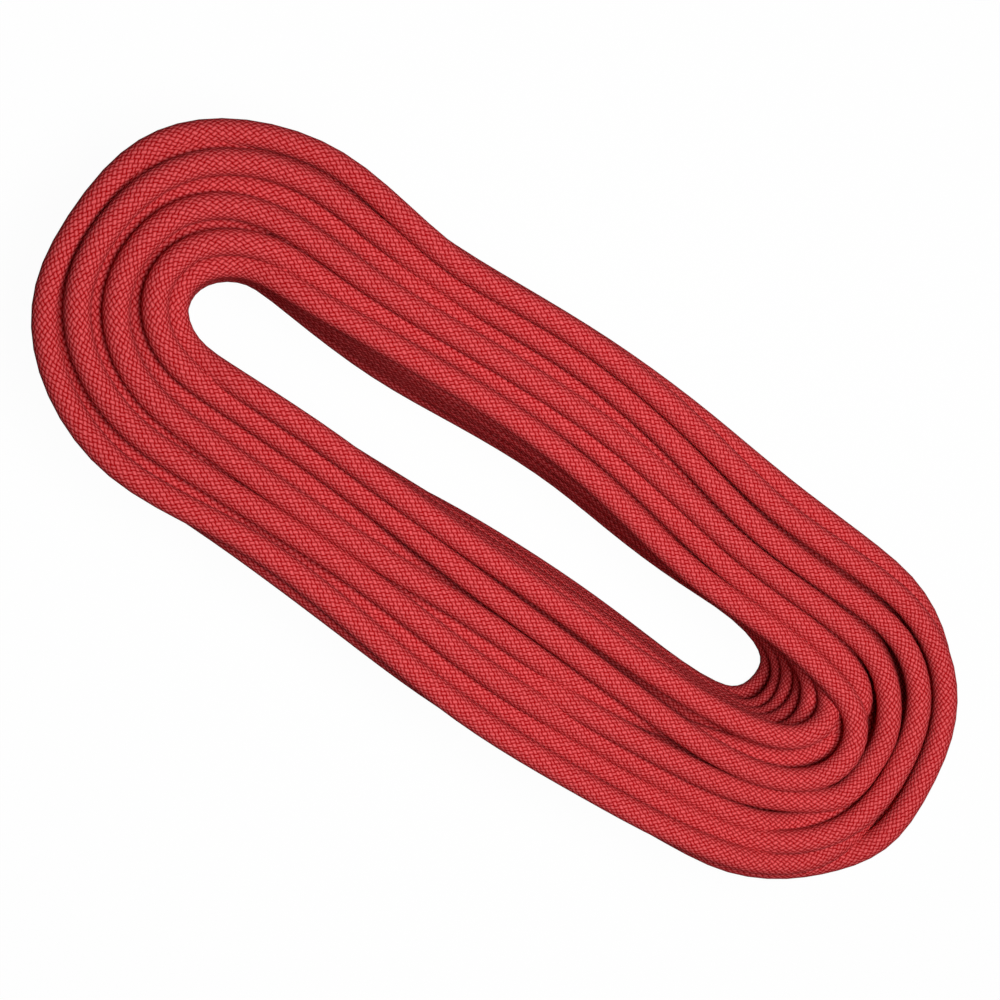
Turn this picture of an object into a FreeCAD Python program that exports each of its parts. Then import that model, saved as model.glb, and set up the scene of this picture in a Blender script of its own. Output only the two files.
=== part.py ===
"""Dynamic climbing rope, wound in a long coil with round ends.

Lengths are millimetres. X runs along the coil, Y across it and Z up. The coil lies flat on z = 0,
with the origin under its middle. It has two straight legs joined by half turns, and the rope
goes round and round them. The turns that show are one unbroken rope, wound over the plain
block of the turns hidden inside. The rope ends lie one on each leg, low on its inner side.
"""

import FreeCAD
import Part

import math
import os

from FreeCAD import Vector

# The rope
rope_diameter = 9.5
rope_sides = 6

# The rope's core: two rings of strands in the sheath's bore
inner_strands = 3
outer_strands = 9
strand_diameter = 1.6
strand_sides = 6
strand_clearance = 0.08
bore_clearance = 0.2
bore_sides = 12

# The coil: its overall size, then its leg's section, over the middles of the outer turns
coil_length = 378.0
coil_width = 140.0
leg_width = 49.5
leg_height = 57.5
corner_radius = 14.0
turn_count = 17

# The rope ends. Near each one the sheath and the core's strands are apart, and elsewhere the
# rope is one solid. The setback is from where the leg's straight run begins to the tip.
opened_length = 28.0
seal_length = 5.0
seal_bevel = 1.8
tip_setback = 8.0

# How far past the middle of the inner bottom corner the first end lies, under the leg
first_end_travel = 5.6

# How deep the lowest turns are pressed flat, and the space inside the outer turns
base_cut = rope_diameter / 10
hidden_turns_clearance = 0.15

# How the gap between turns is measured: the least one allowed, the step along the rope, and
# how far along it two places have to be before they count as different turns
least_turn_gap = 0.4
point_step = rope_diameter / 4
same_turn = 3 * rope_diameter

close_enough = 0.01

rope_radius = rope_diameter / 2
outer_reach = coil_width / 2 - rope_radius
inner_reach = outer_reach - leg_width
run_length = coil_length - coil_width
lowest_middle = rope_radius - base_cut
half_run = run_length / 2

solid_rope_from = tip_setback + seal_length + opened_length - half_run

inner_ring = (strand_diameter + strand_clearance) / math.sqrt(3)
outer_ring = inner_ring + strand_diameter + strand_clearance
bore_radius = outer_ring + strand_diameter / 2 + bore_clearance

os.makedirs("parts", exist_ok=True)


def section_perimeter():
    """The way once round the leg's section, through the middles of its outer turns."""
    straight = 2 * (leg_width + leg_height - 4 * corner_radius)
    return straight + 2 * math.pi * corner_radius


def place_on_section(travel):
    """Reach from the coil's long axis and height, after going so far round the section.

    The way starts half-way round the inner bottom corner. It goes outward under the leg, up its
    outer wall, inward over its top and down its inner wall. Each corner is a quarter turn to
    the left, and a straight side follows it.
    """
    flat = leg_width - 2 * corner_radius
    upright = leg_height - 2 * corner_radius
    quarter = math.pi / 2 * corner_radius
    left = (travel + quarter / 2) % section_perimeter()
    reach = inner_reach
    height = corner_radius
    heading = -math.pi / 2
    for side in (flat, upright, flat, upright):
        turned = heading + min(left, quarter) / corner_radius
        reach += corner_radius * (math.sin(turned) - math.sin(heading))
        height -= corner_radius * (math.cos(turned) - math.cos(heading))
        heading = turned
        left -= quarter
        if left <= 0:
            break
        step = min(left, side)
        reach += step * math.cos(heading)
        height += step * math.sin(heading)
        left -= side
        if left <= 0:
            break
    return reach, height


def run_middle(run_number):
    """The middle of one straight run: even runs are on the -Y leg, odd ones on the +Y leg."""
    turn_pitch = section_perimeter() / turn_count
    reach, height = place_on_section(first_end_travel + run_number * turn_pitch / 2)
    side = -1 if run_number % 2 == 0 else 1
    return Vector(0, side * reach, lowest_middle + height)


def half_turn(start, finish, outward):
    """Half a circle on the line between two run ends, bulging along X."""
    middle = (start + finish) / 2
    radius = start.distanceToPoint(finish) / 2
    return Part.Arc(start, middle + Vector(outward * radius, 0, 0), finish)


def rope_route():
    """Runs and half turns of the outer turns, from one opened end to the other."""
    route = []
    last_run = 2 * turn_count - 1
    for run_number in range(last_run + 1):
        heading = 1 if run_number % 2 == 0 else -1
        middle = run_middle(run_number)
        start = middle + Vector(-heading * half_run, 0, 0)
        finish = middle + Vector(heading * half_run, 0, 0)
        if run_number == 0:
            start.x = solid_rope_from
        if run_number == last_run:
            finish.x = solid_rope_from
        route.append(Part.LineSegment(start, finish))
        if run_number < last_run:
            next_start = run_middle(run_number + 1) + Vector(heading * half_run, 0, 0)
            route.append(half_turn(finish, next_start, heading))
    return route


def route_points(route):
    """Points along the route's middle line, evenly spaced on each piece of it."""
    points = []
    for piece in route:
        step_count = math.ceil(piece.length() / point_step)
        spaced = piece.toShape().discretize(Number=step_count + 1)
        points.extend(spaced[:-1])
    return points + [spaced[-1]]


def distance_to_step(point, start, finish):
    """From a point to the straight step between two others."""
    step = finish - start
    share = (point - start).dot(step) / step.dot(step)
    share = min(1, max(0, share))
    return point.distanceToPoint(start + step * share)


def least_gap(points):
    """The least clear space between the rope's turns, searched cell by cell."""
    cell_size = 2 * rope_diameter
    cells = {}
    places = [tuple(int(math.floor(v / cell_size)) for v in point) for point in points]
    travelled = [0.0]
    for before, after in zip(points, points[1:]):
        travelled.append(travelled[-1] + before.distanceToPoint(after))
    for number, place in enumerate(places[:-1]):
        cells.setdefault(place, []).append(number)
    nearby = [(x, y, z) for x in (-1, 0, 1) for y in (-1, 0, 1) for z in (-1, 0, 1)]
    least = cell_size
    for number, (cx, cy, cz) in enumerate(places):
        for x, y, z in nearby:
            for other in cells.get((cx + x, cy + y, cz + z), []):
                if travelled[number] - travelled[other] < same_turn:
                    continue
                apart = distance_to_step(points[number], points[other], points[other + 1])
                least = min(least, apart)
    return least - rope_diameter


def outline(centre, radius, sides):
    """A regular outline square to X, lying on one of its sides, as a wire."""
    corners = []
    for number in range(sides + 1):
        angle = math.pi * (2 * number + 1) / sides - math.pi / 2
        corners.append(centre + Vector(0, radius * math.cos(angle), radius * math.sin(angle)))
    corners[-1] = corners[0]
    return Part.makePolygon(corners)


def prism(centre, radius, sides, length):
    """A straight faceted bar from the centre, by a signed length along X."""
    return Part.Face(outline(centre, radius, sides)).extrude(Vector(length, 0, 0))


def rope_turns(route):
    """The turns that show, as one tube, and its two end outlines."""
    path = Part.Wire([piece.toShape() for piece in route])
    tube = Part.BRepOffsetAPI.MakePipeShell(path)
    tube.add(outline(route[0].StartPoint, rope_radius, rope_sides))
    tube.build()
    ends = [tube.firstShape(), tube.lastShape()]
    tube.makeSolid()
    return tube.shape(), ends


def flattened(shape):
    """A shape cut flat where the coil lies on the ground."""
    above_ground = Part.makeBox(
        2 * coil_length,
        2 * coil_width,
        2 * leg_height,
        Vector(-coil_length, -coil_width, 0),
    )
    return shape.common(above_ground).Solids[0]


def hidden_turns():
    """The block of turns inside the coil: a plain ring with bevelled edges."""
    inset = rope_radius + hidden_turns_clearance
    near = inner_reach + inset
    far = outer_reach - inset
    low = lowest_middle + inset
    high = lowest_middle + leg_height - inset
    bevel = corner_radius * (2 - math.sqrt(2))
    corners = [
        (near + bevel, low),
        (far - bevel, low),
        (far, low + bevel),
        (far, high - bevel),
        (far - bevel, high),
        (near + bevel, high),
        (near, high - bevel),
        (near, low + bevel),
        (near + bevel, low),
    ]
    leg_end = [Vector(half_run, reach, height) for reach, height in corners]
    section = Part.Face(Part.makePolygon(leg_end))
    leg = section.extrude(Vector(-run_length, 0, 0))
    half_ring = section.revolve(Vector(half_run, 0, 0), Vector(0, 0, 1), -180)
    one_half = leg.fuse(half_ring)
    other_half = one_half.copy()
    other_half.rotate(Vector(0, 0, 0), Vector(0, 0, 1), 180)
    return one_half.fuse(other_half).removeSplitter().Solids[0]


def opened_sheath(rope_outline, middle):
    """The sheath alone near a rope end, as a tube toward -X."""
    outside = Part.Face(rope_outline).extrude(Vector(-opened_length, 0, 0))
    return outside.cut(prism(middle, bore_radius, bore_sides, -opened_length))


def core_strands(middle):
    """The core's parallel strands inside the sheath, in two rings."""
    strands = []
    for count, ring_radius in ((inner_strands, inner_ring), (outer_strands, outer_ring)):
        for number in range(count):
            angle = 2 * math.pi * number / count
            offset = Vector(0, ring_radius * math.cos(angle), ring_radius * math.sin(angle))
            strand = prism(middle + offset, strand_diameter / 2, strand_sides, -opened_length)
            strands.append(strand)
    return strands


def end_seal(rope_outline):
    """The melted tip: a short plug with a bevelled end."""
    seat = Part.Face(rope_outline)
    seat.translate(Vector(-opened_length, 0, 0))
    plug = seat.extrude(Vector(-seal_length, 0, 0))
    tip = plug.BoundBox.XMin
    tip_edges = [
        edge for edge in plug.Edges if all(v.X < tip + close_enough for v in edge.Vertexes)
    ]
    return plug.makeChamfer(seal_bevel, tip_edges)


def write(name, shape):
    """One sub-part, one file."""
    if not shape.isValid() or len(shape.Solids) != 1:
        raise RuntimeError(name + " isn't one valid solid")
    shape.exportStep("parts/" + name + ".step")


def write_rope_end(letter, rope_outline, middle):
    """The opened stretch and the tip at one end of the rope."""
    write("end_" + letter + "_sheath", opened_sheath(rope_outline, middle))
    for number, strand in enumerate(core_strands(middle), 1):
        write("end_" + letter + "_core_strand_%02d" % number, strand)
    write("end_" + letter + "_seal", end_seal(rope_outline))


def main():
    route = rope_route()
    points = route_points(route)
    gap = least_gap(points)
    if gap < least_turn_gap:
        raise RuntimeError("the turns come within %.2f mm of each other" % gap)
    tube, end_outlines = rope_turns(route)
    turns = flattened(tube)
    write("rope_turns", turns)
    write("hidden_turns", hidden_turns())
    write_rope_end("a", end_outlines[0], route[0].StartPoint)
    write_rope_end("b", end_outlines[1], route[-1].EndPoint)

    length = sum(piece.length() for piece in route)
    half_turn_circles = [piece.toShape().Curve for piece in route[1::2]]
    tightest = min(circle.Radius for circle in half_turn_circles)
    print("length in the outer turns %.0f mm" % length)
    print("pitch of the turns %.2f mm" % (section_perimeter() / turn_count))
    print("least gap of the rope to itself %.2f mm" % gap)
    print("tightest turn radius %.1f mm" % tightest)
    size = turns.BoundBox
    print("coil %.1f x %.1f x %.1f mm" % (size.XLength, size.YLength, size.ZLength))


main()
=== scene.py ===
"""Dynamic climbing rope, wound in a long coil with round ends.

Lengths are metres. X runs along the coil, Y across it and Z up, and the floor is z = 0. The coil
has two straight legs joined by half turns. The rope is one braided tube that goes round and
round them, with a melted tip at each end and the core's strands inside its opened ends.
"""

import math

import bmesh
import bpy
import numpy as np
from mathutils import Matrix, Vector


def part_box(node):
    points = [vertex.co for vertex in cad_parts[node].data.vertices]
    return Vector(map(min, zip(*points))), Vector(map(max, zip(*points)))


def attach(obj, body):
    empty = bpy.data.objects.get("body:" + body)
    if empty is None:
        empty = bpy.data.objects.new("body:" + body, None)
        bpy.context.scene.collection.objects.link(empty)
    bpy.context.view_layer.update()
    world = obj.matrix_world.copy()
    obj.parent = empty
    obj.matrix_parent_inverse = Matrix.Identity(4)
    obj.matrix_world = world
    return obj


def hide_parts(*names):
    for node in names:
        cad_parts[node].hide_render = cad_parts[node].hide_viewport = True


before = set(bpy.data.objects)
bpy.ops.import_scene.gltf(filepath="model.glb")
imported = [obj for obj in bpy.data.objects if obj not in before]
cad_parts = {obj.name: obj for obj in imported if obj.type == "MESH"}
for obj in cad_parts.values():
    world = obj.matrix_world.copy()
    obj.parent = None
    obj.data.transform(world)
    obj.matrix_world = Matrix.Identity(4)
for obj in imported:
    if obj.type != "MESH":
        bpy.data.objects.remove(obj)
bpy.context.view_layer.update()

bl_info = {
    "name": "Climbing rope coil",
    "version": (1, 0, 0),
    "blender": (4, 5, 0),
    "location": "3D View > Sidebar > Rope",
    "description": "Winds a climbing rope into a long coil, with its braid, its tips and a stage",
    "category": "Add Mesh",
}

# The coil: half its long axis, which ends at the middles of its round ends. A place on a turn is
# 0 to 1 along the -Y leg, to 2 round the +X end, to 3 back along the +Y leg and to 4 round the
# -X end. Turns are laid at stations, so many on each leg and round each end.
HALF_RUN = 0.119
PLACES_ROUND = 4
LEG_STEPS = 20
END_STEPS = 20
TURN_STEPS = 2 * (LEG_STEPS + END_STEPS)

# The station of the last turn at which the rope ends
LAST_STATION = 2 * LEG_STEPS + END_STEPS

# How many turns lie side by side on a leg. Then from which place on, and over how many places,
# a turn moves over from where the turn before it lay to its own spot.
COLUMNS = 6
CHANGE_FROM = 0.95
CHANGE_OVER = 1.1

# The least distance between the route's points
LEAST_STEP = 0.006

# How far the smoothing of the route pulls the round ends in, which is added to their reach
PULLED_IN = 0.0006

# How many stations of a leg the rope's opened ends take up, and how many they are held at
STRAIGHT_STEPS = 4
OPENED_STEPS = 5

# How far the middles of the outermost and innermost turns are from the long axis, by place
OUTER_REACH = [
    (0, 0.0618), (0.15, 0.0609), (0.3, 0.0626), (0.5, 0.0655), (0.68, 0.0648), (0.9, 0.0618),
    (1.05, 0.0594), (1.2, 0.0602), (1.35, 0.0646), (1.42, 0.0648), (1.5, 0.0598), (1.58, 0.0612),
    (1.7, 0.0634), (1.9, 0.0622), (2.1, 0.0628), (2.2, 0.0622), (2.4, 0.0658), (2.55, 0.0656),
    (2.7, 0.0626), (2.83, 0.0590), (2.97, 0.0624), (3.12, 0.0608), (3.34, 0.0654), (3.5, 0.0608),
    (3.66, 0.0652), (3.85, 0.0626),
]
INNER_REACH = [
    (0, 0.0206), (0.1, 0.0188), (0.17, 0.0170), (0.26, 0.0165), (0.36, 0.0146), (0.48, 0.0119),
    (0.65, 0.0102), (0.75, 0.0102), (0.82, 0.0114), (0.9, 0.0127), (0.964, 0.0122),
    (0.98, 0.0116), (1, 0.0098), (1.17, 0.0075), (1.33, 0.0068), (1.5, 0.0074), (1.67, 0.0097),
    (1.83, 0.0140), (2, 0.0202), (2.02, 0.0219), (2.036, 0.0225), (2.1, 0.0228), (2.2, 0.0200),
    (2.28, 0.0200), (2.4, 0.0226), (2.47, 0.0238), (2.55, 0.0226), (2.65, 0.0202),
    (2.76, 0.0166), (2.85, 0.0163), (2.95, 0.0182), (3.05, 0.0200), (3.25, 0.0209),
    (3.35, 0.0225), (3.42, 0.0239), (3.5, 0.0246), (3.58, 0.0243), (3.65, 0.0237),
    (3.8, 0.0212), (3.9, 0.0203),
]

# How much farther out the wall round the hole is at the coil's top than at its foot, by place
WALL_LEAN = [
    (0, 0), (0.25, 0), (0.45, 0.005), (0.6, 0.006), (0.85, 0.006), (1, 0.005), (1.5, 0.0047),
    (1.8, 0.003), (2, 0), (2.15, 0), (2.3, 0.003), (2.5, 0.004), (2.65, 0.0068), (2.85, 0.0065),
    (2.95, 0.002), (3.1, 0), (3.4, 0.003), (3.65, 0.003), (3.85, 0),
]

# How far either side of a place the values above and below are averaged, to round off corners,
# and over how many samples
PLACE_BLUR = 0.04
BLUR_SAMPLES = 9

# The strands on the coil's top, by the number of their turn. For each one: by place, its share
# of the way from the inner edge to the outer one, and its level, which is 1 at the top, 0 just
# below it and negative deeper down. Where two cross, the one with the higher level is on top.
TOP_STRANDS = {
    # Peeps out between two strands at the -X end
    23: (
        [(0, 0.17), (2, 0.19), (3, 0.26), (3.29, 0.31), (3.51, 0.36), (3.66, 0.31), (4, 0.26)],
        [(0, -1), (2.9, -1), (3.2, -0.1), (4, -0.1)],
    ),
    # The same strand one turn on, on the -Y leg, where it slips under the others
    24: (
        [(0, 0.26), (0.15, 0.33), (0.29, 0.36), (0.36, 0.41), (0.5, 0.45), (1, 0.41), (4, 0.38)],
        [(0, -0.1), (0.3, -0.2), (0.5, -0.6), (0.8, -1.3), (4, -1.3)],
    ),
    # The edge of the +Y leg, outside the topmost strands
    28: (
        [(0, 1), (4, 1)],
        [
            (0, -0.6), (1.6, -0.4), (1.9, 0.3), (2.05, 0.6), (2.3, 0.5), (2.6, -0.2), (3, -1),
            (4, -1),
        ],
    ),
    # The edge of the -Y leg, which rises at the +X end to be the outermost of the +Y leg
    29: (
        [
            (0, 1), (0.5, 1.02), (1.2, 1.03), (1.32, 1), (1.41, 0.97), (1.6, 0.96),
            (1.77, 0.94), (1.87, 0.89), (2.02, 0.84), (2.19, 0.8), (2.34, 0.87), (2.5, 0.94),
            (2.64, 0.98), (2.8, 0.93), (2.93, 0.97), (3.1, 1.03), (3.66, 1.02), (4, 1.01),
        ],
        [
            (0, -0.2), (1.2, -0.2), (1.33, 0.2), (1.45, 0.5), (1.75, 0.5), (1.95, 1), (2.9, 1),
            (3.05, 0.6), (3.2, 0.2), (3.7, 0.2), (3.9, 0.8), (4, 1),
        ],
    ),
    # The outermost on the -Y leg's top, hidden from the +X end until it peeps out again
    30: (
        [
            (0, 1.01), (0.07, 1), (0.14, 0.92), (0.28, 0.92), (0.43, 0.97), (0.58, 1.02),
            (0.94, 1.01), (1, 0.96), (1.24, 0.94), (1.33, 0.87), (1.45, 0.82), (1.6, 0.81),
            (2, 0.72), (2.2, 0.68), (2.5, 0.85), (2.86, 0.87), (3, 0.91), (3.18, 0.95),
            (3.35, 0.93), (3.5, 0.94), (3.7, 0.9), (4, 0.88),
        ],
        [(0, 1), (1.15, 1), (1.3, 0.2), (1.5, -1), (2.8, -1), (3, 0), (3.3, 0.5), (4, 0.4)],
    ),
    # Comes up outside on the -Y leg and is the second strand of the +Y leg
    31: (
        [
            (0, 0.88), (0.08, 0.86), (0.18, 0.82), (0.37, 0.79), (0.43, 0.84), (0.59, 0.88),
            (0.92, 0.86), (1.12, 0.79), (1.22, 0.77), (1.31, 0.73), (1.41, 0.7), (1.5, 0.73),
            (1.8, 0.7), (1.9, 0.66), (2.02, 0.58), (2.12, 0.55), (2.26, 0.6), (2.41, 0.71),
            (2.6, 0.8), (2.8, 0.78), (3, 0.75), (3.19, 0.8), (3.35, 0.77), (3.51, 0.82),
            (3.82, 0.73), (4, 0.7),
        ],
        [
            (0, 0.4), (0.1, 0.2), (0.2, -0.6), (0.3, 0), (0.45, 0.3), (0.9, 0.3), (1, 1),
            (2.4, 0.9), (2.9, 0.8), (3, 1), (4, 1),
        ],
    ),
    # The second strand of the -Y leg, hidden on most of the +Y leg
    32: (
        [
            (0, 0.7), (0.21, 0.69), (0.29, 0.65), (0.43, 0.69), (0.58, 0.74), (0.74, 0.74),
            (0.91, 0.7), (1.24, 0.69), (1.33, 0.66), (1.45, 0.63), (1.6, 0.64), (2, 0.48),
            (2.2, 0.46), (2.4, 0.56), (2.6, 0.63), (2.86, 0.64), (3, 0.59), (3.35, 0.63),
            (3.51, 0.68), (3.66, 0.61), (4, 0.57),
        ],
        [
            (0, 1), (0.6, 1), (0.75, 0.6), (1.15, 0.4), (1.3, 0), (1.5, -0.6), (2.2, -0.8),
            (2.4, 0), (2.8, 0.3), (3, 0.5), (4, 0.2),
        ],
    ),
    # Comes up half-way along the -Y leg and is the third strand of the +Y leg
    33: (
        [
            (0, 0.57), (0.08, 0.61), (0.35, 0.57), (0.65, 0.62), (0.81, 0.58), (0.9, 0.54),
            (1.12, 0.48), (1.5, 0.57), (1.59, 0.55), (1.7, 0.49), (1.8, 0.48), (1.9, 0.43),
            (2.02, 0.34), (2.11, 0.32), (2.19, 0.35), (2.27, 0.39), (2.57, 0.46), (2.79, 0.49),
            (2.93, 0.4), (3, 0.38), (3.2, 0.44), (3.51, 0.51), (3.66, 0.47), (4, 0.43),
        ],
        [
            (0, 0.2), (0.1, -0.2), (0.4, -0.3), (0.5, 0.1), (0.6, 0.6), (0.7, 1), (0.85, 1),
            (0.95, 0.8), (1.5, 0.8), (1.6, 1), (4, 1),
        ],
    ),
    # Slips under its inner neighbour at the end of the -Y leg, and out again at the +X end
    34: (
        [
            (0, 0.43), (0.14, 0.5), (0.36, 0.5), (0.43, 0.46), (0.59, 0.47), (0.67, 0.51),
            (0.79, 0.46), (0.86, 0.38), (0.93, 0.26), (1, 0.21), (1.07, 0.2), (1.29, 0.23),
            (1.5, 0.28), (1.6, 0.34), (1.69, 0.37), (1.79, 0.29), (1.9, 0.21), (1.99, 0.13),
            (2.09, 0.12), (2.26, 0.21), (2.41, 0.26), (2.56, 0.31), (2.79, 0.36), (2.93, 0.23),
            (3.02, 0.17), (3.22, 0.17), (3.51, 0.26), (3.66, 0.19), (4, 0.08),
        ],
        [
            (0, 1), (0.5, 1), (0.6, 0.6), (0.8, 0), (0.9, -0.2), (1, 0), (1.2, -0.1),
            (1.35, -0.5), (1.5, -0.6), (1.6, -0.3), (1.7, 0.2), (1.85, 0.5), (2, 0.9), (2.35, 0.9),
            (2.55, 0.4), (2.9, 0.4), (3, 0.9), (3.2, 1), (4, 1),
        ],
    ),
    # The innermost strand on the top of the +Y leg
    35: (
        [
            (0, 0.08), (0.14, 0.13), (0.29, 0.18), (0.43, 0.27), (0.73, 0.34), (0.89, 0.35),
            (1.06, 0.32), (1.17, 0.34), (1.5, 0.37), (1.6, 0.32), (1.73, 0.18), (1.86, 0.04),
            (1.98, -0.04), (2.04, -0.08), (2.1, -0.07), (2.15, -0.05), (2.27, -0.02),
            (2.42, 0.03), (2.57, 0.11), (2.72, 0.17), (2.86, 0.13), (2.93, 0.04), (3, -0.03),
            (3.38, 0.03), (3.52, 0.07), (3.65, 0.03), (4, -0.08),
        ],
        [
            (0, 0.9), (0.45, 1), (1.9, 1), (2.05, 0.5), (2.35, 0.5), (2.5, 1), (2.9, 1),
            (3.05, 0.8), (3.2, 0.6), (3.8, 0.6), (4, 0.9),
        ],
    ),
    # The innermost strand of the -Y leg, which slips under the last one at the +X end
    36: (
        [
            (0, -0.08), (0.14, -0.04), (0.28, 0.02), (0.43, 0.09), (0.73, 0.15), (0.89, 0.09),
            (0.97, 0.04), (1.03, 0.02), (1.16, 0.04), (1.33, 0.04), (1.5, 0.07), (1.63, 0.11),
            (1.75, 0.13), (1.88, 0.05), (2, 0), (2.15, 0), (2.3, 0.05), (2.5, 0.08), (2.65, 0.13),
            (2.85, 0.12), (2.95, 0.04), (3.2, 0.02), (3.5, 0.06), (3.8, 0.03), (4, 0),
        ],
        [(0, 1), (1.45, 1), (1.55, 0.7), (1.68, 0), (1.8, -0.3), (4, -0.2)],
    ),
}

# How the turns settle: how near their middles may come, over the rope's diameter, how firmly
# each is held in its place sideways and in height, how strongly two that touch push apart, how
# much the rope evens itself out in each round, and how far it may go past the coil's edges
PRESSED_PITCH = 0.95
BURIED_HOLD = (0.06, 0.03)
TOP_HOLD = (0.85, 0.85)
END_HOLD = (0.7, 0.7)
PUSH = 0.22
EASING = 0.16
EDGE_GIVE = 0.0003
SETTLE_ROUNDS = 160

# Stands in for 0 where something is divided by a distance or a bend
TINY = 1e-9

# The wander of the turns under the top ones: how far it goes, over how many stations it is
# smoothed, and the seed of its random draws
WANDER = 0.00045
WANDER_STEPS = 35
WANDER_SEED = 4

# The rope's pressed, oval section: its half width and half height over the rope's radius
SECTION_WIDTH = 0.935
SECTION_HEIGHT = 0.98

# The tube's mesh: its sides, how many steps the spline has from point to point, how far it may
# cut inside a bend, how far apart its rings are, and over how many steps a bend is measured
TUBE_SIDES = 20
SPLINE_STEPS = 8
FLATNESS = 0.00011
CLOSEST_RINGS = 0.0036
WIDEST_RINGS = 0.009
BEND_WINDOW = 5

# A melted tip: its outline, as places from its seat on, over its length, with its half width
# there, over the rope's radius. Then its lumps: for each kind its height, how many go round the
# tip, and how far they twist along it.
SEAL_SIDES = 32
SEAL_OUTLINE = [
    (-0.1, 0.90), (0.0, 0.96), (0.12, 0.99), (0.3, 0.98), (0.5, 0.96), (0.68, 0.88), (0.82, 0.72),
    (0.92, 0.5), (0.98, 0.25),
]
SEAL_LUMPS = [(0.02, 3, 9), (0.015, 7, -5)]

# The braid: one tile of its pattern goes once round the rope
CELLS_ROUND = 16
CELLS_ALONG = 16
CELL_LENGTH = 0.00253

# The braid's yarns: how many filaments show across one and how far they slant along it, how
# often the yarns of each family grow fuller round the rope, and how often the family lit by a
# painted sheen changes along a tile
FILAMENTS = 14
FILAMENT_SLANT = 9.0
LEFT_FULLER = 5
RIGHT_FULLER = 7
SHEEN_CHANGES = 2

# What makes up the sheath's colour, from the deep colour at 0, the red in painted shade
# where yarns dive, to the crowns' at 1, the red with a painted highlight, with a painted
# sheen on one family of yarns; its height and its roughness: how much of a yarn's crown is
# left where it dives, and how much each thing adds
DIVING_CROWN = 0.55
DEEPEST_SHADE = -0.02
CROWN_SHADE = 1.1
FILAMENT_SHADE = 0.05
FULLER_SHADE = 0.06
# Painted sheen: how much it lightens one family of yarns and darkens the other
FAMILY_SHEEN = 0.3
RIDGE_HEIGHT = 0.6
RISE_HEIGHT = 0.4
TONE_AND_SHEEN_HEIGHT = 0.6
FILAMENT_HEIGHT = 0.03
SHEATH_ROUGHNESS = 0.68
CROWN_SMOOTHNESS = 0.12

# The melted tips: how fine their lumps and dark patches are, how much of the colour's light the
# patches keep, over which range of the noise they fade out, and how rough the tips are
LUMP_SCALE = 900.0
PATCH_SCALE = 350.0
PATCH_SHADE = 0.35
PATCH_RANGE = (0.4, 0.62)
MELTED_ROUGHNESS = 0.22
LUMP_ROUGHNESS = 0.3

# The core's strands: how close and how steep their yarns' twist is, how fine their fuzz is, how
# much of the colour's light the twist's hollows keep as painted shade, and what makes up the shade
# and the roughness
TWIST_RATE = 4200.0
TWIST_SLOPE = 1.2
FUZZ_SCALE = 2500.0
HOLLOW_SHADE = 0.62
CORE_SHADE = 0.35
TWIST_SHADE = 0.3
FUZZ_SHADE = 0.5
CORE_ROUGHNESS = 0.5
FUZZ_ROUGHNESS = 0.2

# How strong each material's bump is, and how deep
SHEATH_BUMP = (0.6, 0.0003)
MELTED_BUMP = (0.5, 0.0004)
CORE_BUMP = (0.5, 0.0002)

# The stage: half the floor's side, how much of it glows to the camera, its own colour to the
# camera and to the object, and how strongly the world lights the object
WHITE = (1.0, 1.0, 1.0, 1.0)
FLOOR_HALF_SIDE = 4.0
FLOOR_GLOW = 0.97
FLOOR_SEEN = (0.9, 0.9, 0.9, 1.0)
FLOOR_FELT = (0.1, 0.1, 0.1, 1.0)
WORLD_FELT = 0.07

# The lights, which face the coil's middle: name, place, diameter and power
LIGHTS = (
    ("overhead light", Vector((0.02, 0.05, 0.66)), 0.3, 4.1),
    ("far light", Vector((0.5, 1.0, 0.7)), 0.5, 0.2),
)

# The camera: its target, how far and which way it is from it, its turn about its own axis
CAMERA_TARGET = Vector((-0.0098, 0.00195, 0.033))
CAMERA_DISTANCE = 0.6
CAMERA_LEAN_X = 13.6
CAMERA_LEAN_Y = 1.74
CAMERA_TURN = 35.035
SENSOR_WIDTH = 36.0
LENS = 60.08


def colour(red, green, blue):
    """A colour given in 0 to 255 per channel, as the linear one that shaders take."""
    channels = [value / 255 for value in (red, green, blue)]
    linear = [c / 12.92 if c <= 0.04045 else ((c + 0.055) / 1.055) ** 2.4 for c in channels]
    return (*linear, 1.0)


def shaded(base, share):
    """A colour with only a share of its light."""
    return tuple(share * channel for channel in base[:3]) + (1.0,)


class RopeSizes(bpy.types.PropertyGroup):
    """The rope's sizes, as a user would change them."""

    diameter: bpy.props.FloatProperty(
        name="Diameter",
        description="Diameter of the rope",
        default=0.0095,
        min=0.006,
        max=0.012,
        unit="LENGTH",
    )
    length: bpy.props.FloatProperty(
        name="Length",
        description="Length of the rope from tip to tip",
        default=30.0,
        unit="LENGTH",
    )
    top_height: bpy.props.FloatProperty(
        name="Top height",
        description="Height of the middles of the topmost turns",
        default=0.0612,
        unit="LENGTH",
    )
    below_top: bpy.props.FloatProperty(
        name="Below top",
        description="Height of the middles of the strands just below the topmost ones",
        default=0.0532,
        unit="LENGTH",
    )


class RopeColours(bpy.types.PropertyGroup):
    """The rope's colours."""

    # The crowns' colour: the rope's red, lightened by a painted highlight
    yarn: bpy.props.FloatVectorProperty(
        name="Yarn",
        description="The yarns' crowns",
        default=colour(226, 92, 95),
        subtype="COLOR",
        size=4,
    )
    # The rope's red darkened by painted shade, where the yarns go under one another
    painted_shade_yarn: bpy.props.FloatVectorProperty(
        name="Deep yarn",
        description="The yarns where they go under one another",
        default=colour(160, 2, 8),
        subtype="COLOR",
        size=4,
    )
    core: bpy.props.FloatVectorProperty(
        name="Core",
        description="The core's strands",
        default=colour(232, 226, 208),
        subtype="COLOR",
        size=4,
    )
    melted: bpy.props.FloatVectorProperty(
        name="Melted tip",
        description="The melted nylon at the rope's tips",
        default=colour(74, 22, 20),
        subtype="COLOR",
        size=4,
    )


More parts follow.
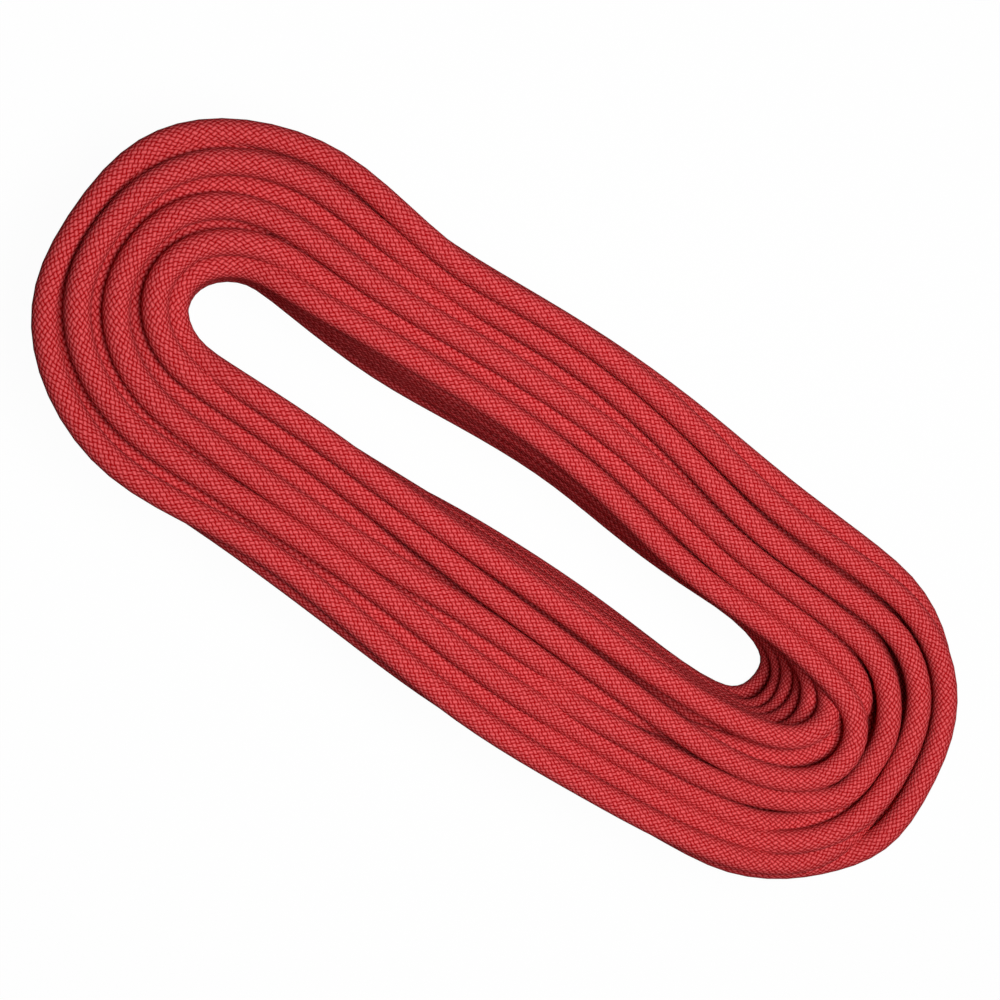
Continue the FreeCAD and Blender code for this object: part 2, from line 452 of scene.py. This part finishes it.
class Signal:
    """One output of a material's nodes, so that shader maths reads as plain sums."""

    def __init__(self, nodes, socket):
        self.nodes = nodes
        self.socket = socket

    def maths(self, operation, *others):
        values = dict(enumerate((self, *others)))
        return self.nodes.node("ShaderNodeMath", {"operation": operation}, values)

    def __add__(self, other):
        return self.maths("ADD", other)

    def __radd__(self, other):
        return self.maths("ADD", other)

    def __sub__(self, other):
        return self.maths("SUBTRACT", other)

    def __rsub__(self, other):
        return (self * -1.0).maths("ADD", other)

    def __mul__(self, other):
        return self.maths("MULTIPLY", other)

    def __rmul__(self, other):
        return self.maths("MULTIPLY", other)

    def rounded(self):
        return (self + 0.5).maths("FLOOR")

    def cosine(self):
        return self.maths("COSINE")

    def larger(self, other):
        return self.maths("MAXIMUM", other)

    def above(self, other):
        return self.maths("GREATER_THAN", other)

    def smooth(self, low, high):
        """0 below low, 1 above high, and eased between them."""
        settings = {"interpolation_type": "SMOOTHSTEP"}
        sockets = {"Value": self, "From Min": low, "From Max": high}
        return self.nodes.node("ShaderNodeMapRange", settings, sockets)


class Nodes:
    """A material's nodes."""

    def __init__(self, name):
        self.material = bpy.data.materials.new(name)
        self.material.use_nodes = True
        self.tree = self.material.node_tree
        self.tree.nodes.clear()

    def node(self, kind, settings=None, sockets=None, output=0):
        """One node, with its settings, then what its sockets get. Gives one of its outputs."""
        node = self.tree.nodes.new(kind)
        for name, value in (settings or {}).items():
            setattr(node, name, value)
        for key, value in (sockets or {}).items():
            if isinstance(value, Signal):
                self.tree.links.new(value.socket, node.inputs[key])
            else:
                node.inputs[key].default_value = value
        if len(node.outputs) == 0:
            return None
        return Signal(self, node.outputs[output])

    def blend(self, share, first, second):
        """A colour between two others: sockets 6 and 7 and output 2 are the ones for colours."""
        settings = {"data_type": "RGBA"}
        sockets = {"Factor": share, 6: first, 7: second}
        return self.node("ShaderNodeMix", settings, sockets, output=2)

    def split(self, place, axis):
        """One of a place's three parts."""
        return self.node("ShaderNodeSeparateXYZ", None, {"Vector": place}, axis)

    def noise(self, place, scale):
        return self.node("ShaderNodeTexNoise", None, {"Vector": place, "Scale": scale})

    def bump(self, height, strength, distance):
        sockets = {"Strength": strength, "Distance": distance, "Height": height}
        return self.node("ShaderNodeBump", None, sockets)

    def finish(self, shader):
        self.node("ShaderNodeOutputMaterial", None, {"Surface": shader})
        return self.material


def braided_sheath(colours):
    """Nylon yarns in a plain braid: two families cross, each over and under the other."""
    nodes = Nodes("braided sheath")
    place = nodes.node("ShaderNodeUVMap", {"uv_map": "OFBake"})
    round_tile = nodes.split(place, "X")
    along_tile = nodes.split(place, "Y")
    round_rope = round_tile * CELLS_ROUND
    along_rope = along_tile * CELLS_ALONG
    left = along_rope - round_rope
    right = along_rope + round_rope
    left_yarn = left.rounded()
    right_yarn = right.rounded()
    from_left = left - left_yarn
    from_right = right - right_yarn

    # On every second crossing the left yarn is the upper one
    left_shows = ((left_yarn + right_yarn) * math.pi).cosine().above(0.0)
    across = from_right + (from_left - from_right) * left_shows
    along = from_left + (from_right - from_left) * left_shows

    # A yarn is a narrow rounded ridge, which rises and dives along its way
    ridge = (across * math.pi).cosine()
    rise = (along * math.pi).cosine()
    crown = ridge * ridge * (rise * (1 - DIVING_CROWN) + DIVING_CROWN)
    filaments = (across * (2 * math.pi * FILAMENTS) + along * FILAMENT_SLANT).cosine()

    # No two yarns are quite as full as each other, and a painted sheen makes one family lighter
    # than the other, with the lighter one changing slowly round and along the rope
    left_tone = (left_yarn * (2 * math.pi * LEFT_FULLER / CELLS_ROUND)).cosine()
    right_tone = (right_yarn * (2 * math.pi * RIGHT_FULLER / CELLS_ROUND)).cosine()
    family = (round_tile * (2 * math.pi) + along_tile * (2 * math.pi * SHEEN_CHANGES)).cosine()
    tone_and_sheen = (left_tone + right_tone) * FULLER_SHADE + family * (left_shows - 0.5) * FAMILY_SHEEN

    # Painted light in the colour: a painted highlight on the crowns and painted shade where yarns
    # dive
    shade = crown * CROWN_SHADE + filaments * FILAMENT_SHADE + tone_and_sheen + DEEPEST_SHADE
    sheath_colour = nodes.blend(shade, tuple(colours.painted_shade_yarn), tuple(colours.yarn))
    height = ridge * RIDGE_HEIGHT + rise * RISE_HEIGHT + tone_and_sheen * TONE_AND_SHEEN_HEIGHT
    height = height + filaments * FILAMENT_HEIGHT
    shader = nodes.node(
        "ShaderNodeBsdfPrincipled",
        None,
        {
            "Base Color": sheath_colour,
            "Roughness": SHEATH_ROUGHNESS - crown * CROWN_SMOOTHNESS,
            "Normal": nodes.bump(height, *SHEATH_BUMP),
            "Specular IOR Level": 0.0,
        },
    )
    return nodes.finish(shader)


def melted_nylon(colours):
    """The sheath and core melted together: dark, glossy and a little lumpy."""
    nodes = Nodes("melted nylon")
    place = nodes.node("ShaderNodeTexCoord", None, None, "Object")
    lumps = nodes.noise(place, LUMP_SCALE)
    lighter = nodes.noise(place, PATCH_SCALE).smooth(*PATCH_RANGE)
    tip_colour = nodes.blend(lighter, shaded(colours.melted, PATCH_SHADE), tuple(colours.melted))
    shader = nodes.node(
        "ShaderNodeBsdfPrincipled",
        None,
        {
            "Base Color": tip_colour,
            "Roughness": MELTED_ROUGHNESS + lumps * LUMP_ROUGHNESS,
            "Normal": nodes.bump(lumps, *MELTED_BUMP),
        },
    )
    return nodes.finish(shader)


def core_nylon(colours):
    """White nylon filaments, twisted along X into each of the core's strands."""
    nodes = Nodes("core nylon")
    place = nodes.node("ShaderNodeTexCoord", None, None, "Object")
    way = nodes.split(place, "X") * TWIST_SLOPE + nodes.split(place, "Z")
    # Painted shade: the white darkens in the hollows between the twisted yarns
    twist = (way * TWIST_RATE).cosine()
    fuzz = nodes.noise(place, FUZZ_SCALE)
    shade = twist * TWIST_SHADE + fuzz * FUZZ_SHADE + CORE_SHADE
    strand_colour = nodes.blend(shade, shaded(colours.core, HOLLOW_SHADE), tuple(colours.core))
    shader = nodes.node(
        "ShaderNodeBsdfPrincipled",
        None,
        {
            "Base Color": strand_colour,
            "Roughness": CORE_ROUGHNESS + fuzz * FUZZ_ROUGHNESS,
            "Normal": nodes.bump(twist + fuzz, *CORE_BUMP),
        },
    )
    return nodes.finish(shader)


def floor_white():
    """White that shows as pure white to the camera but for some of the object's shadow."""
    nodes = Nodes("floor white")
    camera_ray = nodes.node("ShaderNodeLightPath", None, None, "Is Camera Ray")
    glossy_ray = nodes.node("ShaderNodeLightPath", None, None, "Is Glossy Ray")
    seen = camera_ray.larger(glossy_ray)
    matt_colour = nodes.blend(seen, FLOOR_FELT, FLOOR_SEEN)
    matt = nodes.node("ShaderNodeBsdfDiffuse", None, {"Color": matt_colour})
    glow = nodes.node("ShaderNodeEmission", None, {"Color": WHITE})
    shader = nodes.node("ShaderNodeMixShader", None, {0: seen * FLOOR_GLOW, 1: matt, 2: glow})
    return nodes.finish(shader)


def linked(name, data, material):
    """A new object at the origin, with its material."""
    made = bpy.data.objects.new(name, data)
    bpy.context.scene.collection.objects.link(made)
    data.materials.append(material)
    return made


def profile(knots, places, closed=False):
    """Values at places on a turn, between the knots given. A closed one runs on over its start."""
    where = np.array([knot[0] for knot in knots])
    values = np.array([knot[1] for knot in knots])
    if closed:
        where = np.concatenate([where - PLACES_ROUND, where, where + PLACES_ROUND])
        values = np.tile(values, 3)
    spread = np.linspace(-PLACE_BLUR, PLACE_BLUR, BLUR_SAMPLES)
    return np.interp(places[:, None] + spread, where, values).mean(1)


def stations():
    """For each station of a turn: its place, its point on the long axis and its way outward."""
    found = []
    for side, end in ((-1, 1), (1, -1)):
        leg_start = 0 if side < 0 else 2
        for step in range(LEG_STEPS):
            done = step / LEG_STEPS
            found.append((leg_start + done, end * HALF_RUN * (2 * done - 1), 0, side))
        for step in range(END_STEPS):
            done = step / END_STEPS
            angle = math.pi * (done - 0.5)
            outward_x = end * math.cos(angle)
            outward_y = end * math.sin(angle)
            found.append((leg_start + 1 + done, end * HALF_RUN, outward_x, outward_y))
    return np.array(found)


def winding_cells():
    """Column and row of every turn on the leg's section, in the order of winding.

    The lowest row is wound outward, and three more to and fro, without the innermost column.
    Then come the loose top rows, and last the wall round the hole, from the top down.
    """
    cells = [(column, 1) for column in range(1, COLUMNS + 1)]
    cells += [(column, 2) for column in range(COLUMNS, 1, -1)]
    cells += [(column, 3) for column in range(2, COLUMNS + 1)]
    cells += [(column, 4) for column in range(COLUMNS, 1, -1)]
    cells += [(2, 5), (2, 6), (3, 6), (3, 5), (4, 5), (5, 5), (6, 5), (6, 6)]
    cells += [(6, 7), (5, 6), (5, 7), (4, 6), (4, 7), (3, 7), (2, 7)]
    cells += [(1, row) for row in range(6, 1, -1)]
    return np.array(cells, float)


def cells_by_place(places):
    """Column and row of every turn at each place, on its way from the cell before to its own."""
    cells = winding_cells()
    before = np.vstack([cells[:1], cells[:-1]])
    change = np.clip((places - CHANGE_FROM) / CHANGE_OVER, 0, 1)
    eased = change * change * (3 - 2 * change)
    column = before[:, :1] + (cells - before)[:, :1] * eased
    row = before[:, 1:] + (cells - before)[:, 1:] * eased
    return column, row


def along_turns(values):
    """One line along the rope from a table of turns by stations."""
    return values.reshape(-1, values.shape[-1])


def wander_along(count, rng):
    """Soft random wander along the rope, sideways and up."""
    window = np.hanning(WANDER_STEPS)
    window /= math.sqrt((window**2).sum())
    raw = rng.normal(size=(count, 2))
    return np.stack([np.convolve(raw[:, k], window, "same") for k in range(2)], -1)


def reach_limits(places):
    """The least and greatest reach of a turn's middle line, at places on the turn."""
    inner = profile(INNER_REACH, places, closed=True)
    outer = profile(OUTER_REACH, places, closed=True)
    return inner, outer


def planned_sections(sizes, places):
    """Where each turn would lie at each station, as reach and height, and how firmly."""
    column, row = cells_by_place(places)
    share = (column - 1) / (COLUMNS - 1)
    height = sizes.diameter / 2 + (row - 1) * sizes.diameter
    hold = np.tile(BURIED_HOLD, (*share.shape, 1))
    wander = np.full(share.shape, WANDER)
    for number, (shares, levels) in TOP_STRANDS.items():
        share[number] = profile(shares, places)
        level = profile(levels, places)
        height[number] = sizes.below_top + (sizes.top_height - sizes.below_top) * level
        hold[number] = TOP_HOLD
        wander[number] = 0
    inner, outer = reach_limits(places)
    planned = np.stack([inner + share * (outer - inner), height], -1)
    lean = profile(WALL_LEAN, places, closed=True) * height / sizes.top_height
    buried = np.array([number not in TOP_STRANDS for number in range(len(share))])
    planned[buried, :, 0] += (lean * (1 - share))[buried]
    for station in range(len(places)):
        lower_under_others(planned[:, station], sizes.diameter)
    rng = np.random.default_rng(WANDER_SEED)
    moved = wander_along(share.size, rng).reshape(planned.shape) * wander[..., None]
    return planned + moved, hold


def lower_under_others(section, pitch):
    """Lower each top strand of one section until it only touches those that lie over it."""
    laid = []
    for number in sorted(TOP_STRANDS, key=lambda number: -section[number, 1]):
        for over in laid:
            aside = abs(section[number, 0] - section[over, 0])
            if aside < pitch and section[over, 1] > section[number, 1]:
                touching = section[over, 1] - math.sqrt(pitch**2 - aside**2)
                section[number, 1] = min(section[number, 1], touching)
        laid.append(number)


def end_marks():
    """Where the opened ends are, as reach and height, from the CAD seals."""
    marks = []
    for letter in "ab":
        low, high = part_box("end_" + letter + "_seal")
        middle = (Vector(low) + Vector(high)) / 2
        marks.append((abs(middle.y), middle.z))
    return marks


def settled_sections(sizes):
    """The turns after they push each other apart, by turn and station."""
    spots = stations()
    planned, hold = planned_sections(sizes, spots[:, 0])
    end_a, end_b = end_marks()
    planned[0, :OPENED_STEPS] = end_a
    hold[0, :OPENED_STEPS] = END_HOLD
    planned[-1, LAST_STATION - OPENED_STEPS : LAST_STATION] = end_b
    hold[-1, LAST_STATION - OPENED_STEPS : LAST_STATION] = END_HOLD
    turns = planned.copy()
    inner, outer = reach_limits(spots[:, 0])
    lean = profile(WALL_LEAN, spots[:, 0], closed=True) * planned[..., 1] / sizes.top_height
    innermost = np.minimum(inner + lean - EDGE_GIVE, planned[..., 0])
    outermost = np.maximum(outer + EDGE_GIVE, planned[..., 0])
    pitch = sizes.diameter * PRESSED_PITCH
    own = np.arange(len(turns))
    for _ in range(SETTLE_ROUNDS):
        turns += (planned - turns) * hold
        apart = turns[:, None] - turns[None]
        distance = np.sqrt((apart**2).sum(-1)) + TINY
        overlap = np.clip(pitch - distance, 0, None)
        overlap[own, own] = 0
        turns += (apart * (overlap / distance)[..., None]).sum(1) * PUSH
        turns[..., 0] = np.clip(turns[..., 0], innermost, outermost)
        turns[..., 1] = np.clip(turns[..., 1], sizes.diameter / 2, sizes.top_height)
        line = along_turns(turns)
        eased = line.copy()
        eased[1:-1] += EASING * (line[:-2] + line[2:] - 2 * line[1:-1])
        turns = eased.reshape(turns.shape)
    return turns, spots


def route_points(sizes):
    """The control points of the rope's whole route, from one tip's seat to the other's."""
    turns, spots = settled_sections(sizes)
    reach = turns[..., 0] + PULLED_IN * np.abs(spots[:, 2])
    x = spots[:, 1] + reach * spots[:, 2]
    y = reach * spots[:, 3]
    points = along_turns(np.stack([x, y, turns[..., 1]], -1))
    last = len(points) - TURN_STEPS + LAST_STATION - STRAIGHT_STEPS
    ends = []
    for letter in "ab":
        low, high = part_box("end_" + letter + "_sheath")
        middle = (np.array(low) + np.array(high)) / 2
        straight = [(seat, middle[1], middle[2]) for seat in (low[0], middle[0], high[0])]
        ends.append(np.array(straight))
    body = thinned(points[STRAIGHT_STEPS:last])
    body[1:-1] = body[:-2] / 4 + body[1:-1] / 2 + body[2:] / 4
    return np.vstack([ends[0], body, ends[1][::-1]])


def thinned(points):
    """The points that are well clear of the one kept before them."""
    kept = [points[0]]
    for point in points[1:]:
        if np.linalg.norm(point - kept[-1]) > LEAST_STEP:
            kept.append(point)
    return np.array(kept)


def spline_points(points):
    """Points read from a smooth spline with the route's points as its control points."""
    curve = bpy.data.curves.new("rope route", "CURVE")
    curve.dimensions = "3D"
    curve.resolution_u = SPLINE_STEPS
    spline = curve.splines.new("NURBS")
    spline.points.add(len(points) - 1)
    spline.points.foreach_set("co", np.hstack([points, np.ones((len(points), 1))]).ravel())
    spline.order_u = 3
    spline.use_endpoint_u = True
    holder = bpy.data.objects.new("rope route", curve)
    bpy.context.scene.collection.objects.link(holder)
    read = bpy.data.meshes.new_from_object(holder)
    found = np.empty(3 * len(read.vertices))
    read.vertices.foreach_get("co", found)
    bpy.data.objects.remove(holder)
    bpy.data.curves.remove(curve)
    bpy.data.meshes.remove(read)
    return found.reshape(-1, 3)


def ring_middles(points):
    """Points along a line, closer together where it bends, and how far along it each one is."""
    lengths = np.linalg.norm(np.diff(points, axis=0), axis=1)
    ahead = np.diff(points, axis=0) / lengths[:, None]
    turning = np.linalg.norm(np.diff(ahead, axis=0), axis=1) / lengths[1:]
    window = np.ones(BEND_WINDOW) / BEND_WINDOW
    turning = np.convolve(np.append(turning, turning[-1]), window, "same")

    # A straight step of this length cuts inside its bend by the flatness
    spacing = np.sqrt(8 * FLATNESS / np.maximum(turning, TINY))
    spacing = np.clip(spacing, CLOSEST_RINGS, WIDEST_RINGS)
    travelled = np.concatenate([[0], np.cumsum(lengths)])
    rings = np.concatenate([[0], np.cumsum(lengths / spacing)])
    wanted = np.linspace(0, rings[-1], round(rings[-1]) + 1)
    middles = [np.interp(wanted, rings, points[:, k]) for k in range(3)]
    return np.stack(middles, -1), np.interp(wanted, rings, travelled)


def section_offsets(radius):
    """Aside and upward offsets of the points round the rope's oval section."""
    angles = 2 * math.pi * np.arange(TUBE_SIDES) / TUBE_SIDES
    reach = radius / np.hypot(np.sin(angles) / SECTION_WIDTH, np.cos(angles) / SECTION_HEIGHT)
    return reach * np.sin(angles), reach * np.cos(angles)


def tube_mesh(name, middles, travelled, radius, tile_length):
    """A closed tube round a line of points, with a map that repeats once a tile."""
    ahead = np.gradient(middles, axis=0)
    ahead /= np.linalg.norm(ahead, axis=1)[:, None]
    upward = np.array([0.0, 0.0, 1.0]) - ahead * ahead[:, 2:]
    upward /= np.linalg.norm(upward, axis=1)[:, None]
    aside = np.cross(ahead, upward)
    across, above = section_offsets(radius)
    offsets = aside[:, None] * across[:, None] + upward[:, None] * above[:, None]
    rings = middles[:, None] + offsets
    mesh = bmesh.new()
    corners = [[mesh.verts.new(corner) for corner in ring] for ring in rings]
    map_layer = mesh.loops.layers.uv.new("OFBake")
    for number in range(len(corners) - 1):
        near, far = corners[number], corners[number + 1]
        v_near = travelled[number] / tile_length
        v_far = travelled[number + 1] / tile_length
        for side in range(TUBE_SIDES):
            after = (side + 1) % TUBE_SIDES
            face = mesh.faces.new((near[side], near[after], far[after], far[side]))
            face.smooth = True
            u_near = side / TUBE_SIDES
            u_far = (side + 1) / TUBE_SIDES
            places = ((u_near, v_near), (u_far, v_near), (u_far, v_far), (u_near, v_far))
            for loop, place in zip(face.loops, places):
                loop[map_layer].uv = place
    mesh.faces.new(corners[0][::-1])
    mesh.faces.new(corners[-1])
    bmesh.ops.recalc_face_normals(mesh, faces=mesh.faces)
    data = bpy.data.meshes.new(name)
    mesh.to_mesh(data)
    mesh.free()
    return data


def seal_mesh(name, low, high, radius):
    """A melted tip toward -X: a collar, a swollen edge and a rounded, lumpy end."""
    length = high[0] - low[0]
    middle_y = (low[1] + high[1]) / 2
    middle_z = (low[2] + high[2]) / 2
    mesh = bmesh.new()
    rings = []
    for along, wide in SEAL_OUTLINE:
        ring = []
        for side in range(SEAL_SIDES):
            angle = 2 * math.pi * side / SEAL_SIDES
            lumps = [
                size * math.sin(count * angle + twist * along) for size, count, twist in SEAL_LUMPS
            ]
            reach = radius * wide * (1 + sum(lumps))
            y = middle_y + reach * math.cos(angle)
            z = middle_z + reach * math.sin(angle)
            ring.append(mesh.verts.new((high[0] - along * length, y, z)))
        rings.append(ring)
    for near, far in zip(rings, rings[1:]):
        for side in range(SEAL_SIDES):
            after = (side + 1) % SEAL_SIDES
            mesh.faces.new((near[side], near[after], far[after], far[side]))
    tip = mesh.verts.new((low[0], middle_y, middle_z))
    seat = mesh.verts.new((high[0], middle_y, middle_z))
    for side in range(SEAL_SIDES):
        after = (side + 1) % SEAL_SIDES
        mesh.faces.new((rings[-1][side], rings[-1][after], tip))
        mesh.faces.new((rings[0][after], rings[0][side], seat))
    for face in mesh.faces:
        face.smooth = True
    bmesh.ops.recalc_face_normals(mesh, faces=mesh.faces)
    data = bpy.data.meshes.new(name)
    mesh.to_mesh(data)
    mesh.free()
    return data


class AddRope(bpy.types.Operator):
    """Add the rope, wound into its coil, with a melted tip at each end"""

    bl_idname = "climbing_rope.add_rope"
    bl_label = "Rope and tips"

    def execute(self, context):
        sizes = context.scene.rope_sizes
        colours = context.scene.rope_colours
        points = spline_points(route_points(sizes))
        middles, travelled = ring_middles(points)
        radius = sizes.diameter / 2
        tile_length = CELLS_ALONG * CELL_LENGTH
        data = tube_mesh("rope", middles, travelled, radius, tile_length)
        rope = linked("rope", data, braided_sheath(colours))
        tip_material = melted_nylon(colours)
        for letter in "ab":
            node = "end_" + letter + "_seal"
            low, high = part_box(node)
            tip_data = seal_mesh("seal_" + letter, low, high, radius)
            seal = linked("seal_" + letter, tip_data, tip_material)
            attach(seal, "root")
            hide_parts(node)
        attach(rope, "root")
        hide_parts("rope_turns", "hidden_turns", "end_a_sheath", "end_b_sheath")
        print("rope length %.2f m in %d rings" % (travelled[-1], len(middles)))
        return {"FINISHED"}


class FinishCore(bpy.types.Operator):
    """Give the core's strands in the opened ends their nylon finish"""

    bl_idname = "climbing_rope.finish_core"
    bl_label = "Core strands"

    def execute(self, context):
        material = core_nylon(context.scene.rope_colours)
        strands = [node for name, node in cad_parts.items() if "core_strand" in name]
        if not strands:
            raise RuntimeError("the frame has no core strands")
        for strand in strands:
            strand.data.materials.clear()
            strand.data.materials.append(material)
        return {"FINISHED"}


class AddStage(bpy.types.Operator):
    """Add the white floor, the soft lights and the camera"""

    bl_idname = "climbing_rope.add_stage"
    bl_label = "Stage"

    def execute(self, context):
        add_floor()
        add_lights()
        add_world()
        add_camera(context.scene)
        return {"FINISHED"}


def add_floor():
    """A wide floor, pure white to the camera but for the object's soft shadow."""
    mesh = bmesh.new()
    bmesh.ops.create_grid(mesh, x_segments=1, y_segments=1, size=FLOOR_HALF_SIDE)
    data = bpy.data.meshes.new("floor")
    mesh.to_mesh(data)
    mesh.free()
    floor = linked("floor", data, floor_white())


def add_lights():
    """A soft light above the coil and a weak one beyond it."""
    for name, place, size, power in LIGHTS:
        lamp = bpy.data.lights.new(name, "AREA")
        lamp.shape = "DISK"
        lamp.size = size
        lamp.energy = power
        holder = bpy.data.objects.new(name, lamp)
        holder.location = place
        holder.rotation_euler = place.to_track_quat("Z", "Y").to_euler()
        bpy.context.scene.collection.objects.link(holder)


def add_world():
    """An even world, white to the camera, which lights the object only a little."""
    world = bpy.data.worlds.new("white room")
    world.use_nodes = True
    tree = world.node_tree
    tree.nodes.clear()
    path = tree.nodes.new("ShaderNodeLightPath")
    mix = tree.nodes.new("ShaderNodeMixShader")
    tree.links.new(path.outputs["Is Camera Ray"], mix.inputs[0])

    # First what reaches the object, then what the camera sees
    for number, strength in enumerate((WORLD_FELT, 1.0), 1):
        background = tree.nodes.new("ShaderNodeBackground")
        background.inputs["Color"].default_value = WHITE
        background.inputs["Strength"].default_value = strength
        tree.links.new(background.outputs[0], mix.inputs[number])
    output = tree.nodes.new("ShaderNodeOutputWorld")
    tree.links.new(mix.outputs[0], output.inputs["Surface"])
    bpy.context.scene.world = world


def add_camera(scene):
    """The photograph's view, from above and a little from one end."""
    lean_x = math.tan(math.radians(CAMERA_LEAN_X))
    lean_y = math.tan(math.radians(CAMERA_LEAN_Y))
    backward = Vector((-lean_x, -lean_y, 1)).normalized()
    level = Vector((1, 0, 0))
    level = (level - backward * level.dot(backward)).normalized()
    upright = backward.cross(level)
    turn = math.radians(CAMERA_TURN)
    right = level * math.cos(turn) + upright * math.sin(turn)
    up = upright * math.cos(turn) - level * math.sin(turn)
    lens = bpy.data.cameras.new("camera")
    lens.sensor_width = SENSOR_WIDTH
    lens.lens = LENS
    holder = bpy.data.objects.new("camera", lens)
    axes = Matrix((right, up, backward)).transposed().to_4x4()
    place = CAMERA_TARGET + backward * CAMERA_DISTANCE
    holder.matrix_world = Matrix.Translation(place) @ axes
    scene.collection.objects.link(holder)
    scene.camera = holder
    scene.view_settings.view_transform = "Standard"


class RopePanel(bpy.types.Panel):
    """The sidebar's list of what can be added"""

    bl_idname = "VIEW3D_PT_climbing_rope"
    bl_label = "Climbing rope"
    bl_space_type = "VIEW_3D"
    bl_region_type = "UI"
    bl_category = "Rope"

    def draw(self, context):
        for group in (context.scene.rope_sizes, context.scene.rope_colours):
            for name in group.bl_rna.properties.keys():
                if name not in ("rna_type", "name"):
                    self.layout.prop(group, name)
        for operator in OPERATORS:
            self.layout.operator(operator.bl_idname)


OPERATORS = (AddRope, FinishCore, AddStage)
CLASSES = (RopeSizes, RopeColours, *OPERATORS, RopePanel)


def register():
    for kind in CLASSES:
        bpy.utils.register_class(kind)
    bpy.types.Scene.rope_sizes = bpy.props.PointerProperty(type=RopeSizes)
    bpy.types.Scene.rope_colours = bpy.props.PointerProperty(type=RopeColours)


def unregister():
    del bpy.types.Scene.rope_colours
    del bpy.types.Scene.rope_sizes
    for kind in reversed(CLASSES):
        bpy.utils.unregister_class(kind)


def main():
    register()
    bpy.ops.climbing_rope.add_rope()
    bpy.ops.climbing_rope.finish_core()
    bpy.ops.climbing_rope.add_stage()


if __name__ == "__main__":
    main()
